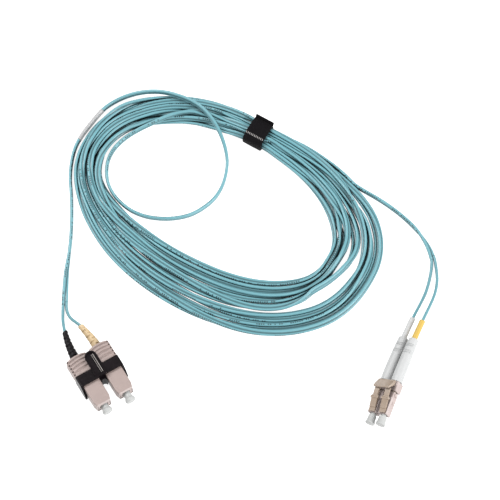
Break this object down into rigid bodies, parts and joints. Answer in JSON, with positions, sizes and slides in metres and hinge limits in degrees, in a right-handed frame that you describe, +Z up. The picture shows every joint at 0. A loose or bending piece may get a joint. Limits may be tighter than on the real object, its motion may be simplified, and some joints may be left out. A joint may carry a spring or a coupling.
{
  "type": "fiber optic patch cord",
  "caption": "Coiled duplex fibre optic patch cord, SC pair on one end and LC pair on the other, with boots, dust caps, latches, wrap label and hook-and-loop tie.",
  "frame": {"origin": "on the surface that the cord lies on, under the middle of the two connector pairs", "axes": "+X from the SC pair towards the LC pair, +Y from the connectors towards the coil, +Z up"},
  "size_m": [0.1929, 0.1893, 0.0141],
  "materials": {
    "cord_jacket": "aqua PVC zip-cord jacket, satin, fine extrusion lines",
    "connector_beige": "pinkish beige moulded plastic, satin",
    "latch_tan": "tan beige moulded plastic, satin",
    "clip_black": "black moulded plastic, satin with glossy edges",
    "boot_black": "black flexible boot, satin",
    "boot_cream": "cream flexible boot, satin",
    "boot_white": "white flexible boot, satin",
    "sleeve_white": "white marker sleeve, satin",
    "sleeve_yellow": "orange-yellow marker sleeve, satin",
    "cap_clear": "milky translucent polyethylene",
    "ferrule_ceramic": "polished white zirconia",
    "spring_steel": "bright spring wire",
    "crimp_metal": "plated crimp sleeve",
    "rear_body_metal": "nickel-washed brass",
    "tie_black": "black hook-and-loop webbing, brushed loops",
    "label_white": "pale grey-white wrap label, slightly glossy"
  },
  "bodies": {
    "cord_and_inner_bodies": {"cord_coil": "cord_jacket", "cord_sc_tail": "cord_jacket", "cord_lc_tail": "cord_jacket", "cord_sc_leg_a": "cord_jacket", "cord_sc_leg_b": "cord_jacket", "cord_lc_leg_a": "cord_jacket", "cord_lc_leg_b": "cord_jacket", "hook_and_loop_tie": "tie_black", "wrap_label": "label_white", "sc_plug_frame_a": "connector_beige", "sc_spring_a": "spring_steel", "sc_backbone_a": "connector_beige", "sc_crimp_sleeve_a": "crimp_metal", "sc_boot_a": "boot_black", "lc_housing_a": "connector_beige", "lc_spring_a": "spring_steel", "lc_rear_body_a": "rear_body_metal", "lc_crimp_sleeve_a": "crimp_metal", "lc_boot_a": "boot_white", "lc_marker_sleeve_a": "sleeve_white", "sc_plug_frame_b": "connector_beige", "sc_spring_b": "spring_steel", "sc_backbone_b": "connector_beige", "sc_crimp_sleeve_b": "crimp_metal", "sc_boot_b": "boot_cream", "lc_housing_b": "connector_beige", "lc_spring_b": "spring_steel", "lc_rear_body_b": "rear_body_metal", "lc_crimp_sleeve_b": "crimp_metal", "lc_boot_b": "boot_white", "lc_marker_sleeve_b": "sleeve_yellow", "lc_duplex_clip": "connector_beige"},
    "sc_outer_shells": {"sc_housing_a": "connector_beige", "sc_housing_b": "connector_beige", "sc_duplex_clip": "clip_black"},
    "lc_trigger_lever": {"lc_trigger": "latch_tan"},
    "sc_ferrule_a_set": {"sc_ferrule_a": "ferrule_ceramic"},
    "sc_cap_a": {"sc_dust_cap_a": "cap_clear"},
    "lc_ferrule_a_set": {"lc_ferrule_a": "ferrule_ceramic"},
    "lc_cap_a": {"lc_dust_cap_a": "cap_clear"},
    "lc_latch_arm_a": {"lc_latch_a": "latch_tan"},
    "sc_ferrule_b_set": {"sc_ferrule_b": "ferrule_ceramic"},
    "sc_cap_b": {"sc_dust_cap_b": "cap_clear"},
    "lc_ferrule_b_set": {"lc_ferrule_b": "ferrule_ceramic"},
    "lc_cap_b": {"lc_dust_cap_b": "cap_clear"},
    "lc_latch_arm_b": {"lc_latch_b": "latch_tan"}
  },
  "joints": [
    {"name": "sc_shells_slide", "type": "slide", "parent": "cord_and_inner_bodies", "child": "sc_outer_shells", "axis": [-0.515, 0.8572, 0], "range_m": [0, 0.002]},
    {"name": "sc_ferrule_a_slide", "type": "slide", "parent": "cord_and_inner_bodies", "child": "sc_ferrule_a_set", "axis": [-0.515, 0.8572, 0], "range_m": [0, 0.001], "stiffness_N_per_m": 800, "springref_m": -0.005, "deforming": ["sc_spring_a"]},
    {"name": "sc_cap_a_pull", "type": "slide", "parent": "sc_ferrule_a_set", "child": "sc_cap_a", "axis": [0.515, -0.8572, 0], "range_m": [0, 0.014]},
    {"name": "sc_ferrule_b_slide", "type": "slide", "parent": "cord_and_inner_bodies", "child": "sc_ferrule_b_set", "axis": [-0.515, 0.8572, 0], "range_m": [0, 0.001], "stiffness_N_per_m": 800, "springref_m": -0.005, "deforming": ["sc_spring_b"]},
    {"name": "sc_cap_b_pull", "type": "slide", "parent": "sc_ferrule_b_set", "child": "sc_cap_b", "axis": [0.515, -0.8572, 0], "range_m": [0, 0.014]},
    {"name": "lc_ferrule_a_slide", "type": "slide", "parent": "cord_and_inner_bodies", "child": "lc_ferrule_a_set", "axis": [0.3518, 0.9361, 0], "range_m": [0, 0.001], "stiffness_N_per_m": 600, "springref_m": -0.005, "deforming": ["lc_spring_a"]},
    {"name": "lc_cap_a_pull", "type": "slide", "parent": "lc_ferrule_a_set", "child": "lc_cap_a", "axis": [-0.3518, -0.9361, 0], "range_m": [0, 0.012]},
    {"name": "lc_ferrule_b_slide", "type": "slide", "parent": "cord_and_inner_bodies", "child": "lc_ferrule_b_set", "axis": [0.3518, 0.9361, 0], "range_m": [0, 0.001], "stiffness_N_per_m": 600, "springref_m": -0.005, "deforming": ["lc_spring_b"]},
    {"name": "lc_cap_b_pull", "type": "slide", "parent": "lc_ferrule_b_set", "child": "lc_cap_b", "axis": [-0.3518, -0.9361, 0], "range_m": [0, 0.012]},
    {"name": "lc_trigger_press", "type": "hinge", "parent": "cord_and_inner_bodies", "child": "lc_trigger_lever", "pos_m": [0.07395, -0.00387, 0.00828], "axis": [0.8107, -0.3047, 0.5], "range_deg": [0, 10], "stiffness_Nm_per_rad": 0.03},
    {"name": "lc_latch_a_press", "type": "hinge", "parent": "cord_and_inner_bodies", "child": "lc_latch_arm_a", "pos_m": [0.06621, -0.01848, 0.00568], "axis": [-0.8107, 0.3047, -0.5], "range_deg": [0, 5.5], "stiffness_Nm_per_rad": 0.02},
    {"name": "lc_latch_b_press", "type": "hinge", "parent": "cord_and_inner_bodies", "child": "lc_latch_arm_b", "pos_m": [0.07128, -0.02038, 0.00881], "axis": [-0.8107, 0.3047, -0.5], "range_deg": [0, 5.5], "stiffness_Nm_per_rad": 0.02}
  ],
  "couplings": [
    {"joint": "lc_latch_a_press", "follows": "lc_trigger_press", "ratio": 0.5},
    {"joint": "lc_latch_b_press", "follows": "lc_trigger_press", "ratio": 0.5}
  ]
}
